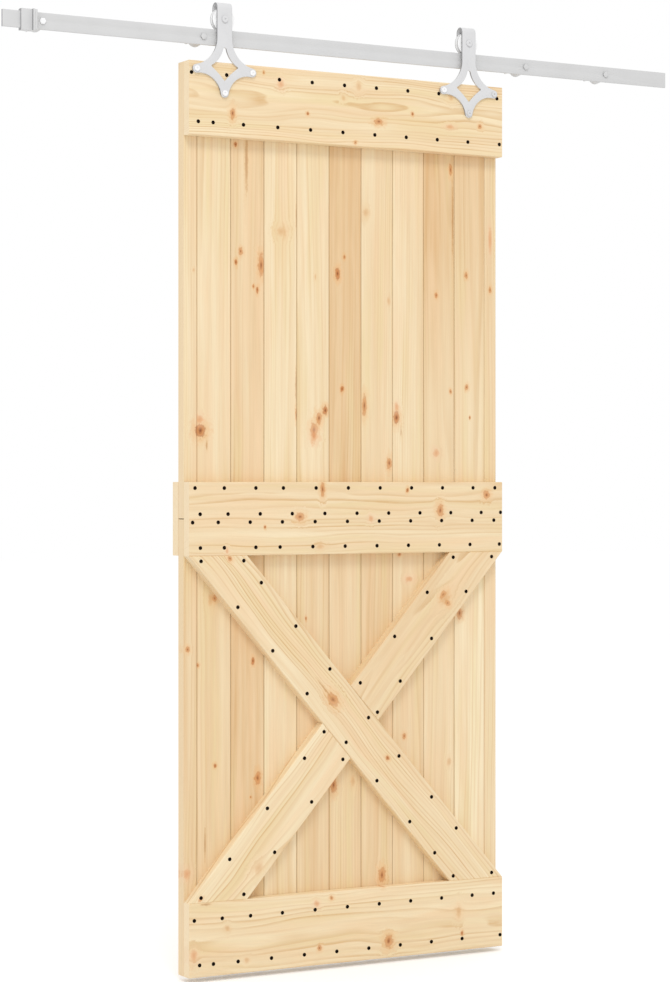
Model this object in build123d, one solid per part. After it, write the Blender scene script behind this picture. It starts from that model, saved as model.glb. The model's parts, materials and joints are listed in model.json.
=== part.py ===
from build123d import *
import os
from math import hypot, sqrt

# Sliding barn door of pine boards that hangs by two folded straps from a flat steel track.
# Millimetres. +Z is up, +X runs along the track and +Y points into the wall.
# The origin lies on the face of the header board that carries the track, midway between the outer
# wall bolts, at their height. The door runs below that board, whose lower edge stays above its top.

# Track and wall fixings
track_length = 1800.0
track_height = 38.0
track_thickness = 6.0
track_bevel = 0.8
left_outer_bolt_inset = 95.0
left_inner_bolt_inset = 492.0
right_inner_bolt_inset = 425.0
right_outer_bolt_inset = 186.0
wall_bolt_radius = 4.0
wall_bolt_shank_radius = 3.6
wall_bolt_grip = 45.0
wall_bolt_head_flats = 13.0
wall_bolt_head_height = 3.5
spacer_length = 42.0
spacer_neck_radius = 13.0
spacer_foot_radius = 18.0

# Stop collar on the track's left end
stop_length = 30.0
stop_wall = 4.5
stop_fit_clearance = 0.3
stop_spacer_gap = 4.5
stop_lip_reach = 8.0
stop_lip_bend = 2.0
bumper_thickness = 6.0
bumper_height = 46.0
set_screw_radius = 3.0
set_screw_proud = 3.0

# Door leaf
door_width = 850.0
door_height = 2100.0
door_rest_inset = 453.0
door_top_gap = 38.0
rail_height = 170.0
rail_thickness = 28.0
plank_thickness = 30.0
back_rail_thickness = 28.0
board_bevel = 1.5
brace_level_cut = 150.0
brace_joint_gap = 0.4

# Tongue-and-groove planks
plank_pitch = 87.0
edge_plank_least = 20.0
plank_gap = 0.4
plank_bevel = 1.5
plank_end_gap = 2.0
tongue_thickness = 8.0
tongue_length = 7.5
tongue_clearance = 0.3

# Wood screws
screw_head_radius = 3.6
screw_head_proud = 0.25
screw_length = 48.0
mid_rail_screw_length = 75.0
top_rail_upper_row_inset = 28.0
top_rail_lower_row_inset = 30.5
mid_rail_upper_row_inset = 14.0
mid_rail_row_above_seam = 11.0
mid_rail_row_below_seam = 8.0
mid_rail_lower_row_inset = 18.5
bottom_rail_upper_row_inset = 39.0
bottom_rail_lower_row_inset = 28.0
brace_screw_inset = 15.0
screw_sides = 6

# Strap hangers
left_hanger_inset = 89.0
right_hanger_inset = 98.5
strap_width = 38.0
strap_thickness = 5.0
strap_pass_clearance = 2.0
side_screw_reach = 71.5
side_screw_drop = 19.0
bottom_screw_drop = 71.0
star_tip_radius = 10.0
upper_sweep_radius = 66.0
lower_sweep_radius = 52.0
opening_rise = 52.5
opening_slot_width = 9.0
opening_reach = 36.0
opening_corner_rise = 9.0
opening_drop = 24.5
opening_upper_bow = 5.5
opening_lower_bow = 1.5
opening_corner_radius = 2.5

# Coach screws that hold the star plates
hanger_screw_radius = 4.0
hanger_screw_length = 55.0
hanger_screw_head_radius = 6.5
hanger_screw_head_height = 3.2

# Wheels and axles
wheel_tread_radius = 23.0
wheel_flange_depth = 5.0
wheel_side_gap = 1.5
wheel_head_room = 6.2
wheel_track_gap = 0.3
groove_side_clearance = 0.6
bush_radius = 7.0
axle_radius = 5.0
axle_head_radius = 8.0
axle_head_height = 3.0
axle_nut_flats = 16.0
axle_nut_height = 6.0
axle_thread_proud = 2.0
running_clearance = 0.05

# Fits that all bolts share
bolt_clearance = 0.3
socket_flats = 4.0
socket_depth = 1.8
cut_overrun = 2.0

# Screws stand in each plank at a share of its width: the edge plank, the next two, those
# between, and the far edge plank.
top_rail_upper_shares = (0.18, 0.72, 0.30, 0.30, 0.55)
top_rail_lower_shares = (0.70, 0.32, 0.22, 0.25, 0.76)
mid_rail_upper_shares = (0.45, 0.65, 0.59, 0.42, 0.37)
mid_rail_above_seam_shares = (0.84, 0.76, 0.72, 0.69, 0.86)
mid_rail_below_seam_shares = (0.27, 0.47, 0.42, 0.39, 0.28)
mid_rail_lower_shares = (0.86, 0.65, 0.59, 0.32, 0.76)
bottom_rail_upper_shares = (0.40, 0.59, 0.43, 0.39, 0.25)
bottom_rail_lower_shares = (0.80, 0.33, 0.06, 0.06, 0.82)

# Screws along the two edges of each brace, as shares of its height from the top.
long_brace_upper_shares = (0.015, 0.08, 0.21, 0.34, 0.49, 0.61, 0.74, 0.84, 0.985)
long_brace_lower_shares = (0.015, 0.15, 0.28, 0.41, 0.56, 0.68, 0.81, 0.91, 0.985)
short_brace_upper_shares = (0.015, 0.12, 0.25, 0.385, 0.525, 0.60, 0.74, 0.88, 0.985)
short_brace_lower_shares = (0.015, 0.12, 0.26, 0.385, 0.475, 0.61, 0.73, 0.87, 0.985)

# The plank, counted from each end, whose top screw would lie under a hanger's inner arm.
planks_under_hanger = (2, -2)

# Places across the wall
track_back_y = -spacer_length
track_front_y = track_back_y - track_thickness
wheel_y = (track_front_y + track_back_y) / 2
fold_gap = track_thickness + 2 * (wall_bolt_head_height + strap_pass_clearance)
wheel_width = fold_gap - 2 * wheel_side_gap
rail_front_y = wheel_y - fold_gap / 2
plank_front_y = rail_front_y + rail_thickness
plank_back_y = plank_front_y + plank_thickness
back_rail_back_y = plank_back_y + back_rail_thickness
strap_front_y = rail_front_y - strap_thickness
back_leg_front_y = rail_front_y + fold_gap
back_leg_back_y = back_leg_front_y + strap_thickness
stop_front_y = track_front_y - stop_fit_clearance - stop_wall
stop_back_y = track_back_y + stop_fit_clearance + stop_wall
lip_front_y = stop_front_y - stop_lip_reach

# Places along the track
track_left = (right_outer_bolt_inset - left_outer_bolt_inset - track_length) / 2
track_right = track_left + track_length
wall_bolt_xs = (
    track_left + left_outer_bolt_inset,
    track_left + left_inner_bolt_inset,
    track_right - right_inner_bolt_inset,
    track_right - right_outer_bolt_inset,
)
stop_right = wall_bolt_xs[0] - spacer_foot_radius - stop_spacer_gap
stop_left = stop_right - stop_length
stop_middle = (stop_left + stop_right) / 2
door_left = track_left + door_rest_inset
door_right = door_left + door_width
hanger_xs = {"left": door_left + left_hanger_inset, "right": door_right - right_hanger_inset}

# Heights
track_top = track_height / 2
track_bottom = -track_height / 2
stop_half_height = track_height / 2 + stop_fit_clearance + stop_wall
door_top = track_bottom - door_top_gap
door_bottom = door_top - door_height
seam_z = (door_top + door_bottom) / 2
top_rail_bottom = door_top - rail_height
mid_rail_top = seam_z + rail_height / 2
mid_rail_bottom = seam_z - rail_height / 2
bottom_rail_top = door_bottom + rail_height
axle_z = track_top + wheel_track_gap + wheel_tread_radius
flange_radius = wheel_tread_radius + wheel_flange_depth
fold_radius = fold_gap / 2 + strap_thickness
fold_z = axle_z + flange_radius + wheel_head_room + strap_thickness - fold_radius
side_screw_z = door_top - side_screw_drop
bottom_screw_z = door_top - bottom_screw_drop

# Braces: how far across and down they run, and the share of a level cut that lies square to them
brace_run = door_width - brace_level_cut
brace_rise = mid_rail_bottom - bottom_rail_top
brace_slope_share = brace_rise / hypot(brace_run, brace_rise)

# Planks: whole ones in the middle and two of equal width, ripped to fit, at the edges
whole_planks = int((door_width - 2 * edge_plank_least) // plank_pitch)
last_plank = whole_planks + 1
edge_plank_width = (door_width - whole_planks * plank_pitch) / 2
plank_edges = [door_left]
for count in range(last_plank):
    plank_edges.append(door_left + edge_plank_width + count * plank_pitch)
plank_edges.append(door_right)


def slab(low, high):
    """A box from its lowest to its highest corner."""
    size = Vector(*high) - Vector(*low)
    return Pos(*low) * Box(size.X, size.Y, size.Z, align=Align.MIN)


def plate(outline, front_y, back_y):
    """A sketch drawn in X and Z, as a plate from front_y to back_y."""
    return extrude(Plane.XZ.offset(-back_y) * outline, back_y - front_y, dir=(0, -1, 0))


def rod(x, z, radius, front_y, back_y):
    """A round rod across the wall."""
    return plate(Pos(x, z) * Circle(radius), front_y, back_y)


def hexagon(x, z, flats, front_y, back_y):
    """A hexagonal bar across the wall, measured across its flats."""
    outline = RegularPolygon(flats / 2, 6, major_radius=False)
    return plate(Pos(x, z) * outline, front_y, back_y)


def taper(x, z, base_y, radius, length):
    """A screw's body, drawn as a many-sided taper that runs into the door."""
    base = Plane((x, base_y, z), x_dir=(1, 0, 0), z_dir=(0, 1, 0))
    return base * loft([RegularPolygon(radius, screw_sides), Vertex(0, 0, length)], ruled=True)


def socket_head(x, z, seat_y, radius, height):
    """A low round head in front of seat_y with a hexagon socket in it."""
    front_y = seat_y - height
    socket = hexagon(x, z, socket_flats, front_y - cut_overrun, front_y + socket_depth)
    return rod(x, z, radius, front_y, seat_y) - socket


def group(solids):
    """Like pieces that share one node."""
    return Compound([piece.solid() for piece in solids])


def front_arc(centre, start, end):
    """An arc of less than half a turn about a centre, in X and Z."""
    spoke = Vector(*start) - Vector(*centre)
    other = Vector(*end) - Vector(*centre)
    middle = Vector(*centre) + (spoke + other).normalized() * spoke.length
    return ThreePointArc(start, (middle.X, middle.Y), end)


def toward(start, end, distance):
    """The point at a distance from start, on the way to end."""
    step = (Vector(*end) - Vector(*start)).normalized() * distance
    return (start[0] + step.X, start[1] + step.Y)


def plank(index, low_z, high_z):
    """One upright board with a groove on its left edge and a tongue on its right edge."""
    left = plank_edges[index] + (plank_gap / 2 if index > 0 else 0)
    right = plank_edges[index + 1] - (plank_gap / 2 if index < last_plank else 0)
    front = plank_front_y
    back = plank_back_y
    middle = (front + back) / 2
    outline = [
        (left + plank_bevel, front),
        (right - plank_bevel, front),
        (right, front + plank_bevel),
    ]
    if index < last_plank:
        tip = right + tongue_length
        low, high = middle - tongue_thickness / 2, middle + tongue_thickness / 2
        outline += [(right, low), (tip, low), (tip, high), (right, high)]
    outline += [
        (right, back - plank_bevel),
        (right - plank_bevel, back),
        (left + plank_bevel, back),
        (left, back - plank_bevel),
    ]
    if index > 0:
        root = left + tongue_length + tongue_clearance
        half = tongue_thickness / 2 + tongue_clearance
        low, high = middle - half, middle + half
        outline += [(left, high), (root, high), (root, low), (left, low)]
    outline.append((left, front + plank_bevel))
    section = Polygon(*outline, align=None)
    return extrude(Plane.XY.offset(low_z) * section, high_z - low_z, dir=(0, 0, 1))


def rail(low_z, front_y, back_y):
    """A board across the whole door with eased long edges."""
    board = slab((door_left, front_y, low_z), (door_right, back_y, low_z + rail_height))
    return chamfer(board.edges().filter_by(Axis.X), board_bevel)


def brace_corners(top_x, bottom_x):
    """The corners of a brace whose level-cut ends start at top_x and bottom_x."""
    return [
        (top_x, mid_rail_bottom),
        (top_x + brace_level_cut, mid_rail_bottom),
        (bottom_x + brace_level_cut, bottom_rail_top),
        (bottom_x, bottom_rail_top),
    ]


long_brace_corners = brace_corners(door_left, door_right - brace_level_cut)
short_brace_corners = brace_corners(door_right - brace_level_cut, door_left)


def eased_brace(outline):
    """A brace plate with its front arrises eased."""
    board = plate(outline, rail_front_y, plank_front_y)
    return chamfer(board.faces().sort_by(Axis.Y)[0].edges(), board_bevel)


def long_brace():
    """The brace that runs through from upper left to lower right."""
    return eased_brace(Polygon(*long_brace_corners, align=None))


def short_braces():
    """The two halves of the other brace, cut to butt against the long one."""
    level_gap = brace_joint_gap / brace_slope_share
    shifts = (-level_gap, level_gap, level_gap, -level_gap)
    cut = [(x + shift, z) for (x, z), shift in zip(long_brace_corners, shifts)]
    halves = Polygon(*short_brace_corners, align=None) - Polygon(*cut, align=None)
    lower, upper = halves.faces().sort_by(Axis.Y)
    return eased_brace(upper), eased_brace(lower)


def wood_screw(x, z, length):
    """A countersunk screw driven from the front, one taper from its head to its point."""
    return taper(x, z, rail_front_y - screw_head_proud, screw_head_radius, length)


def screw_row(shares, z, length, left_out=()):
    """One screw in each plank, at the row's share of the plank's width."""
    first, second, third, between, last = shares
    places = [first, second, third] + [between] * (last_plank - 3) + [last]
    skipped = [index % (last_plank + 1) for index in left_out]
    screws = []
    for index, share in enumerate(places):
        if index not in skipped:
            width = plank_edges[index + 1] - plank_edges[index]
            screws.append(wood_screw(plank_edges[index] + share * width, z, length))
    return screws


def brace_row(corners, from_right, shares):
    """Screws along one edge of a brace, set in from that edge."""
    top, bottom = (corners[1], corners[2]) if from_right else (corners[0], corners[3])
    level_inset = brace_screw_inset / brace_slope_share
    step = -level_inset if from_right else level_inset
    screws = []
    for share in shares:
        x = top[0] + share * (bottom[0] - top[0]) + step
        z = top[1] + share * (bottom[1] - top[1])
        screws.append(wood_screw(x, z, screw_length))
    return screws


def top_rail_screws():
    """Two rows that hold the top rail to the upper planks."""
    upper_z = door_top - top_rail_upper_row_inset
    lower_z = top_rail_bottom + top_rail_lower_row_inset
    screws = screw_row(top_rail_upper_shares, upper_z, screw_length, planks_under_hanger)
    screws += screw_row(top_rail_lower_shares, lower_z, screw_length)
    return group(screws)


def mid_rail_screws():
    """Four rows of long screws that clamp both mid rails on the ends of the planks."""
    rows = (
        (mid_rail_upper_shares, mid_rail_top - mid_rail_upper_row_inset),
        (mid_rail_above_seam_shares, seam_z + mid_rail_row_above_seam),
        (mid_rail_below_seam_shares, seam_z - mid_rail_row_below_seam),
        (mid_rail_lower_shares, mid_rail_bottom + mid_rail_lower_row_inset),
    )
    screws = []
    for shares, z in rows:
        screws += screw_row(shares, z, mid_rail_screw_length)
    return group(screws)


def bottom_rail_screws():
    """Two rows that hold the bottom rail to the lower planks."""
    upper_z = bottom_rail_top - bottom_rail_upper_row_inset
    lower_z = door_bottom + bottom_rail_lower_row_inset
    screws = screw_row(bottom_rail_upper_shares, upper_z, screw_length)
    screws += screw_row(bottom_rail_lower_shares, lower_z, screw_length)
    return group(screws)


def brace_screws():
    """Screws along both edges of the long brace and of the two short ones."""
    screws = brace_row(long_brace_corners, True, long_brace_upper_shares)
    screws += brace_row(long_brace_corners, False, long_brace_lower_shares)
    screws += brace_row(short_brace_corners, False, short_brace_upper_shares)
    screws += brace_row(short_brace_corners, True, short_brace_lower_shares)
    return group(screws)


def hanger_screw_places(hanger_x):
    """The two side screws and the bottom screw of one hanger."""
    return (
        (hanger_x - side_screw_reach, side_screw_z),
        (hanger_x + side_screw_reach, side_screw_z),
        (hanger_x, bottom_screw_z),
    )


def star_centres():
    """The centres of the upper and lower sweeps, right of a hanger at X 0."""
    upper_x = strap_width / 2 + upper_sweep_radius
    reach = upper_sweep_radius + star_tip_radius
    upper = (upper_x, side_screw_z + sqrt(reach**2 - (upper_x - side_screw_reach) ** 2))
    chord = Vector(side_screw_reach, side_screw_z - bottom_screw_z)
    away = Vector(chord.Y, -chord.X).normalized()
    rise = sqrt((lower_sweep_radius + star_tip_radius) ** 2 - (chord.length / 2) ** 2)
    lower = Vector(0, bottom_screw_z) + chord / 2 + away * rise
    return upper, (lower.X, lower.Y)


def bowed_arc(start, end, bow):
    """An arc that bows to the right of the way from start to end."""
    way = Vector(end[0] - start[0], end[1] - start[1])
    middle = Vector(*start) + way / 2 + Vector(way.Y, -way.X).normalized() * bow
    return ThreePointArc(start, (middle.X, middle.Y), end)


def star_opening():
    """The opening between the star's arms: an arched slot that widens to two side corners and a low one."""
    half_slot = opening_slot_width / 2
    top_z = side_screw_z + opening_rise
    shoulder = (half_slot, top_z - half_slot)
    corner = (opening_reach, side_screw_z + opening_corner_rise)
    bottom = (0, side_screw_z - opening_drop)
    half = bowed_arc(shoulder, corner, opening_upper_bow) + bowed_arc(corner, bottom, opening_lower_bow)
    arch = ThreePointArc((-half_slot, shoulder[1]), (0, top_z), shoulder)
    outline = make_face(Curve() + arch + half + mirror(half, about=Plane.YZ))
    sides = outline.vertices().sort_by(Axis.X)
    return fillet([sides[0], sides[-1]], opening_corner_radius)


def hanger_front(upper, lower):
    """The strap's front leg and its four-pointed star plate, drawn about X 0."""
    half_width = strap_width / 2
    side = (side_screw_reach, side_screw_z)
    tip = (0, bottom_screw_z)
    strap_end = (half_width, upper[1])
    side_top = toward(side, upper, star_tip_radius)
    side_low = toward(side, lower, star_tip_radius)
    tip_side = toward(tip, lower, star_tip_radius)
    tip_end = (0, bottom_screw_z - star_tip_radius)
    half = Line((0, fold_z), (half_width, fold_z)) + Line((half_width, fold_z), strap_end)
    half += front_arc(upper, strap_end, side_top)
    half += front_arc(side, side_top, side_low)
    half += front_arc(lower, side_low, tip_side)
    half += front_arc(tip, tip_side, tip_end)
    return make_face(Curve() + half + mirror(half, about=Plane.YZ))


def hanger_strap(hanger_x):
    """One flat bar, cut to a star at the door and folded over the wheel."""
    upper, lower = star_centres()
    outline = hanger_front(upper, lower) - star_opening()
    for x, z in hanger_screw_places(0):
        outline -= Pos(x, z) * Circle(hanger_screw_radius + bolt_clearance)
    strap = plate(outline, strap_front_y, rail_front_y)
    half_width = strap_width / 2
    ring = Circle(fold_radius) - Circle(fold_gap / 2)
    ring &= Rectangle(2 * fold_radius, fold_radius, align=(Align.CENTER, Align.MIN))
    fold_plane = Plane((-half_width, wheel_y, fold_z), x_dir=(0, 1, 0), z_dir=(1, 0, 0))
    strap += extrude(fold_plane * ring, strap_width)
    strap += slab((-half_width, back_leg_front_y, axle_z), (half_width, back_leg_back_y, fold_z))
    strap += rod(0, axle_z, half_width, back_leg_front_y, back_leg_back_y)
    axle_hole = axle_radius + bolt_clearance
    strap -= rod(0, axle_z, axle_hole, strap_front_y - cut_overrun, back_leg_back_y + cut_overrun)
    return Pos(hanger_x, 0, 0) * strap


def hanger_screws():
    """The coach screws through both star plates into rail and planks."""
    screws = []
    for hanger_x in hanger_xs.values():
        for x, z in hanger_screw_places(hanger_x):
            head = socket_head(x, z, strap_front_y, hanger_screw_head_radius, hanger_screw_head_height)
            screws.append(head + taper(x, z, strap_front_y, hanger_screw_radius, hanger_screw_length))
    return group(screws)


def wheel(hanger_x):
    """A wheel with a square groove that runs on the track's top edge."""
    half = wheel_width / 2
    bore = bush_radius + running_clearance
    groove = track_thickness / 2 + groove_side_clearance
    section = Polygon(
        (bore, -half),
        (flange_radius, -half),
        (flange_radius, -groove),
        (wheel_tread_radius, -groove),
        (wheel_tread_radius, groove),
        (flange_radius, groove),
        (flange_radius, half),
        (bore, half),
        align=None,
    )
    centre = (hanger_x, wheel_y, axle_z)
    radial = Plane(centre, x_dir=(0, 0, 1), z_dir=(-1, 0, 0))
    return revolve(radial * section, Axis(centre, (0, 1, 0)))


def wheel_bushes():
    """The sleeves that the straps' legs clamp and the wheels run on."""
    sleeves = []
    for x in hanger_xs.values():
        sleeve = rod(x, axle_z, bush_radius, rail_front_y, back_leg_front_y)
        sleeves.append(sleeve - rod(x, axle_z, axle_radius + bolt_clearance, rail_front_y, back_leg_front_y))
    return group(sleeves)


def axle_bolts():
    """The bolts that carry the bushes and the wheels."""
    end_y = back_leg_back_y + axle_nut_height + axle_thread_proud
    bolts = []
    for x in hanger_xs.values():
        head = socket_head(x, axle_z, strap_front_y, axle_head_radius, axle_head_height)
        bolts.append(head + rod(x, axle_z, axle_radius, strap_front_y, end_y))
    return group(bolts)


def axle_nuts():
    """The thin nuts behind the straps' back legs."""
    end_y = back_leg_back_y + axle_nut_height
    nuts = []
    for x in hanger_xs.values():
        nut = hexagon(x, axle_z, axle_nut_flats, back_leg_back_y, end_y)
        nuts.append(nut - rod(x, axle_z, axle_radius + running_clearance, back_leg_back_y, end_y))
    return group(nuts)


def track_bar():
    """The flat bar with eased edges and a hole for each wall bolt."""
    bar = slab((track_left, track_front_y, track_bottom), (track_right, track_back_y, track_top))
    bar = chamfer(bar.edges().filter_by(Axis.X), track_bevel)
    hole = wall_bolt_radius + bolt_clearance
    for x in wall_bolt_xs:
        bar -= rod(x, 0, hole, track_front_y - cut_overrun, track_back_y + cut_overrun)
    return bar


def wall_spacers():
    """Turned spacers that hold the track off the header and widen towards it, clear of the wheels."""
    spacers = []
    for x in wall_bolt_xs:
        middle = Plane((x, track_back_y / 2, 0), x_dir=(1, 0, 0), z_dir=(0, 1, 0))
        cone = middle * Cone(spacer_neck_radius, spacer_foot_radius, spacer_length)
        spacers.append(cone - rod(x, 0, wall_bolt_radius + bolt_clearance, track_back_y, 0))
    return group(spacers)


def wall_bolts():
    """Low hexagon-headed bolts with a slim shank in track and spacers and their thread in the wall."""
    bolts = []
    for x in wall_bolt_xs:
        bolt = hexagon(x, 0, wall_bolt_head_flats, track_front_y - wall_bolt_head_height, track_front_y)
        bolt += rod(x, 0, wall_bolt_shank_radius, track_front_y, 0)
        bolts.append(bolt + rod(x, 0, wall_bolt_radius, 0, wall_bolt_grip))
    return group(bolts)


def stop_collar():
    """A sleeve round the track whose front wall bends forward into a lip."""
    sleeve = slab((stop_left, stop_front_y, -stop_half_height), (stop_right, stop_back_y, stop_half_height))
    sleeve -= slab(
        (stop_left, track_front_y - stop_fit_clearance, track_bottom - stop_fit_clearance),
        (stop_right, track_back_y + stop_fit_clearance, track_top + stop_fit_clearance),
    )
    lip_left = stop_right - stop_wall
    bend_left = lip_left - stop_lip_bend
    bend_front_y = stop_front_y - stop_lip_bend
    lip = Polygon(
        (stop_right, stop_front_y),
        (stop_right, lip_front_y),
        (lip_left, lip_front_y),
        (lip_left, bend_front_y),
        (bend_left, stop_front_y),
        align=None,
    )
    lip -= Pos(bend_left, bend_front_y) * Circle(stop_lip_bend)
    sleeve += extrude(Plane.XY.offset(-stop_half_height) * lip, 2 * stop_half_height, dir=(0, 0, 1))
    hole = Pos(stop_middle, wheel_y) * Circle(set_screw_radius + bolt_clearance)
    return sleeve - extrude(Plane.XY.offset(track_bottom) * hole, stop_half_height, dir=(0, 0, -1))


def stop_bumper():
    """The rubber pad on the lip that meets the strap."""
    pad = Rectangle(stop_lip_reach, bumper_height)
    seat = Plane((stop_right, (lip_front_y + stop_front_y) / 2, 0), x_dir=(0, 1, 0), z_dir=(1, 0, 0))
    return extrude(seat * pad, bumper_thickness)


def stop_set_screw():
    """The socket screw under the collar that bites on the track's bottom edge."""
    low_z = -stop_half_height - set_screw_proud
    seat = Plane((stop_middle, wheel_y, low_z))
    shank = extrude(seat * Circle(set_screw_radius), track_bottom - low_z)
    return shank - extrude(seat * RegularPolygon(set_screw_radius / 2, 6), socket_depth)


nodes = {
    "top_rail": rail(top_rail_bottom, rail_front_y, plank_front_y),
    "front_mid_rail": rail(mid_rail_bottom, rail_front_y, plank_front_y),
    "back_mid_rail": rail(mid_rail_bottom, plank_back_y, back_rail_back_y),
    "bottom_rail": rail(door_bottom, rail_front_y, plank_front_y),
    "long_brace": long_brace(),
    "top_rail_screws": top_rail_screws(),
    "mid_rail_screws": mid_rail_screws(),
    "bottom_rail_screws": bottom_rail_screws(),
    "brace_screws": brace_screws(),
    "hanger_screws": hanger_screws(),
    "wheel_bushes": wheel_bushes(),
    "axle_bolts": axle_bolts(),
    "axle_nuts": axle_nuts(),
    "track_bar": track_bar(),
    "wall_spacers": wall_spacers(),
    "wall_bolts": wall_bolts(),
    "stop_collar": stop_collar(),
    "stop_bumper": stop_bumper(),
    "stop_set_screw": stop_set_screw(),
}
nodes["upper_short_brace"], nodes["lower_short_brace"] = short_braces()

for index in range(last_plank + 1):
    nodes[f"upper_plank_{index + 1:02d}"] = plank(index, seam_z + plank_end_gap / 2, door_top)
    nodes[f"lower_plank_{index + 1:02d}"] = plank(index, door_bottom, seam_z - plank_end_gap / 2)

for side, hanger_x in hanger_xs.items():
    nodes[f"{side}_hanger_strap"] = hanger_strap(hanger_x)
    nodes[f"{side}_wheel"] = wheel(hanger_x)

os.makedirs("parts", exist_ok=True)
for name, shape in nodes.items():
    export_step(shape, f"parts/{name}.step")
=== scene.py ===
"""Looks of the sliding barn door: planed pine boards, black wood screws and light grey painted steel."""

from __future__ import annotations

import json
import logging
import math
import random
from collections.abc import Iterable
from dataclasses import dataclass, field, replace
from enum import Enum

import bmesh
import bpy
from mathutils import Matrix, Vector

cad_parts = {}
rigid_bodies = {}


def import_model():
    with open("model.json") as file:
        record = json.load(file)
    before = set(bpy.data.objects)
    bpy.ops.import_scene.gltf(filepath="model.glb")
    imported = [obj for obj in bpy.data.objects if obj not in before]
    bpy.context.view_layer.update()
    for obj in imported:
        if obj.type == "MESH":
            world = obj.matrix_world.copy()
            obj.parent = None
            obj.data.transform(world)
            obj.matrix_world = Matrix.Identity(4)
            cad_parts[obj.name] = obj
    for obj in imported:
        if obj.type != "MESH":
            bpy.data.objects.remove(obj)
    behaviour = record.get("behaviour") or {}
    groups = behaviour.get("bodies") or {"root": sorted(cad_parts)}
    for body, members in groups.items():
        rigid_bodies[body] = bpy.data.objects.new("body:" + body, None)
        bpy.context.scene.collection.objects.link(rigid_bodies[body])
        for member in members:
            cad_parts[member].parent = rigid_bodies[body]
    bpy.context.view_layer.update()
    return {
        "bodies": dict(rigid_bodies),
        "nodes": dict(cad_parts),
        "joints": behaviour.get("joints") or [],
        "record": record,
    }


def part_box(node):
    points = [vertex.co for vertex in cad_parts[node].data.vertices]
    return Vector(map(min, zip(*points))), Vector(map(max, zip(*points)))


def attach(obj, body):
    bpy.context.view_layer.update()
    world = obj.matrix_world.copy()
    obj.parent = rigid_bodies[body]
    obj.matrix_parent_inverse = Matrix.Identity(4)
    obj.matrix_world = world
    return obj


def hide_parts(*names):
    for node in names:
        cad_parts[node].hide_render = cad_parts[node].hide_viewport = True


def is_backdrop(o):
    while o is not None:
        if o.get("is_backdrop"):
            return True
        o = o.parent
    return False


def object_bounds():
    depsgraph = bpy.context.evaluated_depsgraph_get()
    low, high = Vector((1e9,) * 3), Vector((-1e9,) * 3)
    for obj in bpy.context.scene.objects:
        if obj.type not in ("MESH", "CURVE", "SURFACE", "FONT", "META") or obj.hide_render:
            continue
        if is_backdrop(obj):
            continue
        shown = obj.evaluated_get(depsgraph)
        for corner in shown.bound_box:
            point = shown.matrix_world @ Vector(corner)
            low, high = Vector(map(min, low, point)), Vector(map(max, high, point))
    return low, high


LOG = logging.getLogger("barn_door")
MM = 0.001

Pixel = tuple[float, float]
Span = tuple[float, float]
Point = tuple[float, float, float]
Tone = tuple[float, float, float, float]
Socket = bpy.types.NodeSocket
Tree = bpy.types.NodeTree

WHITE = "#FFFFFF"
# Noise swings about a half on each axis.
NOISE_MIDDLE = (0.5, 0.5, 0.5)
# A colour mix shares its sockets' names with the other kinds of mix, so they go by number.
MIX_STRENGTH = 0
MIX_UNDER = 6
MIX_OVER = 7
MIX_RESULT = 2


def to_linear(hex_colour: str) -> Tone:
    """Turns an sRGB hex colour to linear light.

    Args:
        hex_colour: A colour such as "#F5DEB6".

    Returns:
        Linear red, green and blue, and an alpha of 1.
    """
    channels = [int(hex_colour[start : start + 2], 16) / 255 for start in (1, 3, 5)]
    linear = [c / 12.92 if c <= 0.04045 else ((c + 0.055) / 1.055) ** 2.4 for c in channels]
    return (linear[0], linear[1], linear[2], 1.0)


def between(first: str, second: str, share: float) -> Tone:
    """Mixes two hex colours in linear light.

    Args:
        first: The colour at share 0.
        second: The colour at share 1.
        share: How far to go from the first to the second.

    Returns:
        The linear colour between them.
    """
    start = Vector(to_linear(first))
    return tuple(start.lerp(Vector(to_linear(second)), share))


def add_node(
    tree: Tree, kind: str, inputs: dict | None = None, out: int | str = 0, **settings: object
) -> Socket:
    """Adds one shader node, sets it and links it.

    Args:
        tree: The material's node tree.
        kind: The node's type without its ShaderNode prefix.
        inputs: Sockets to link or plain values to set, by input name or number.
        out: The name or number of the output wanted.
        settings: The node's own settings.

    Returns:
        The wanted output.
    """
    node = tree.nodes.new("ShaderNode" + kind)
    for name, value in settings.items():
        setattr(node, name, value)
    for key, value in (inputs or {}).items():
        if isinstance(value, Socket):
            tree.links.new(value, node.inputs[key])
        else:
            node.inputs[key].default_value = value
    return node.outputs[out]


def new_material(name: str) -> tuple[bpy.types.Material, Tree]:
    """Makes an empty node material.

    Args:
        name: The material's name.

    Returns:
        The material and its node tree, with no nodes in it.
    """
    material = bpy.data.materials.new(name)
    material.use_nodes = True
    material.node_tree.nodes.clear()
    return material, material.node_tree


def add_node_output(tree: Tree, shader: Socket) -> None:
    """Leads a finished shader to the material's surface."""
    output = tree.nodes.new("ShaderNodeOutputMaterial")
    tree.links.new(shader, output.inputs["Surface"])


def lay_over(tree: Tree, colour: Socket | Tone, layers: Iterable[tuple[Socket, Socket | Tone]]) -> Socket:
    """Lays tints over a colour, one after the other.

    Args:
        tree: The material's node tree.
        colour: The colour at the bottom.
        layers: Each tint's strength and its colour, from the lowest up.

    Returns:
        The mixed colour.
    """
    for strength, tint in layers:
        mix = {MIX_STRENGTH: strength, MIX_UNDER: colour, MIX_OVER: tint}
        colour = add_node(tree, "Mix", mix, MIX_RESULT, data_type="RGBA")
    return colour


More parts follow.
